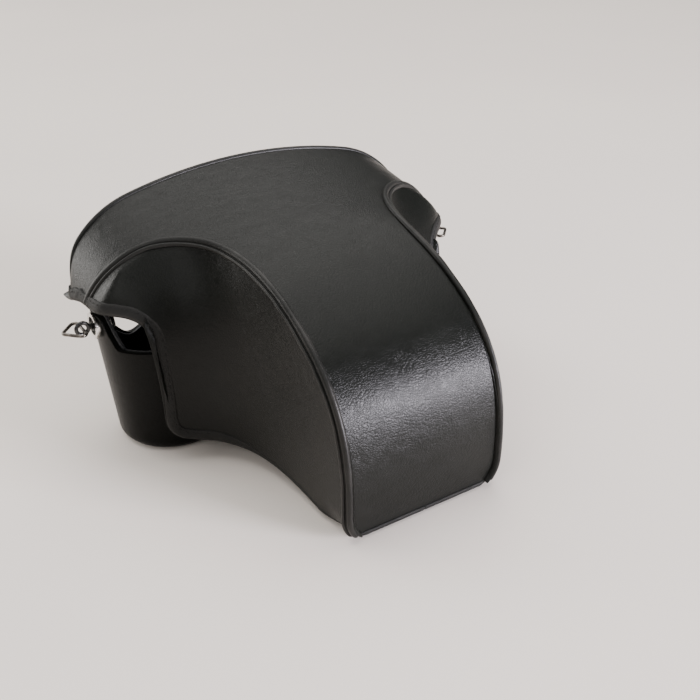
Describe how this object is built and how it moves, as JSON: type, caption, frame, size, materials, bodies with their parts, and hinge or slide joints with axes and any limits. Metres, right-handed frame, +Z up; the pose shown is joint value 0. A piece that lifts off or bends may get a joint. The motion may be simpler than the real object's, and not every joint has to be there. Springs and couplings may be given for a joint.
{
  "type": "leather ever ready case",
  "caption": "Hard leather ever ready case for a reflex camera: a lower case with a captive tripod screw, and a nosed cover that snaps shut and drops forward on a leather hinge.",
  "frame": {"origin": "mouth of the tripod socket, at the middle of the base, on the plane the case stands on", "axes": "+X across the case to the right of someone facing its lens nose from behind, lens nose towards -Y, +Z up"},
  "size_m": [0.1678, 0.1321, 0.0938],
  "materials": {
    "black_leather": "satin pebble-grained black leather",
    "piping": "smooth black leather over cord",
    "edge_binding": "matt black edge tape",
    "felt": "short black pile",
    "fibre_board": "pressed fibre board",
    "nickel": "nickel plate",
    "black_enamel": "black enamel",
    "steel": "turned and knurled"
  },
  "bodies": {
    "lower_case": {"lower_case_shell": "black_leather", "lower_case_lining": "felt", "base_board": "fibre_board", "floor_pad": "felt", "screw_cup": "nickel", "hinge_leaf_lower": "black_leather", "base_hinge_rivets": "nickel", "left_eyelet": "nickel", "right_eyelet": "nickel", "left_strap_lug": "nickel", "right_strap_lug": "nickel", "tab_foot": "black_leather", "tab_rivets": "nickel"},
    "cover": {"top_band": "black_leather", "left_side_panel": "black_leather", "right_side_panel": "black_leather", "back_panel": "black_leather", "left_piping": "piping", "right_piping": "piping", "back_piping": "piping", "left_edge_binding": "edge_binding", "right_edge_binding": "edge_binding", "cover_lining": "felt", "nose_floor": "black_leather", "snap_stud": "nickel", "hinge_leaf_cover": "black_leather", "cover_hinge_rivets": "nickel"},
    "camera_screw": {"camera_screw": "steel"},
    "left_ring": {"left_strap_ring": "nickel"},
    "right_ring": {"right_strap_ring": "nickel"},
    "closing_tab": {"closing_tab": "black_leather", "snap_socket": "nickel", "snap_cap": "black_enamel"}
  },
  "joints": [
    {"name": "cover_hinge", "type": "hinge", "parent": "lower_case", "child": "cover", "pos_m": [0, -0.0243, 0.0016], "axis": [1, 0, 0], "range_deg": [0, 150]},
    {"name": "tab_fold", "type": "hinge", "parent": "lower_case", "child": "closing_tab", "pos_m": [0, 0.024, 0.0368], "axis": [-1, 0, 0], "range_deg": [0, 130]},
    {"name": "screw_turn", "type": "hinge", "parent": "lower_case", "child": "camera_screw", "pos_m": [0, 0, 0], "axis": [0, 0, 1], "continuous": true},
    {"name": "left_ring_swing", "type": "hinge", "parent": "lower_case", "child": "left_ring", "pos_m": [-0.0764, 0, 0.0496], "axis": [0, 1, 0], "range_deg": [-85, 45]},
    {"name": "right_ring_swing", "type": "hinge", "parent": "lower_case", "child": "right_ring", "pos_m": [0.0764, 0, 0.0496], "axis": [0, -1, 0], "range_deg": [-85, 45]}
  ]
}
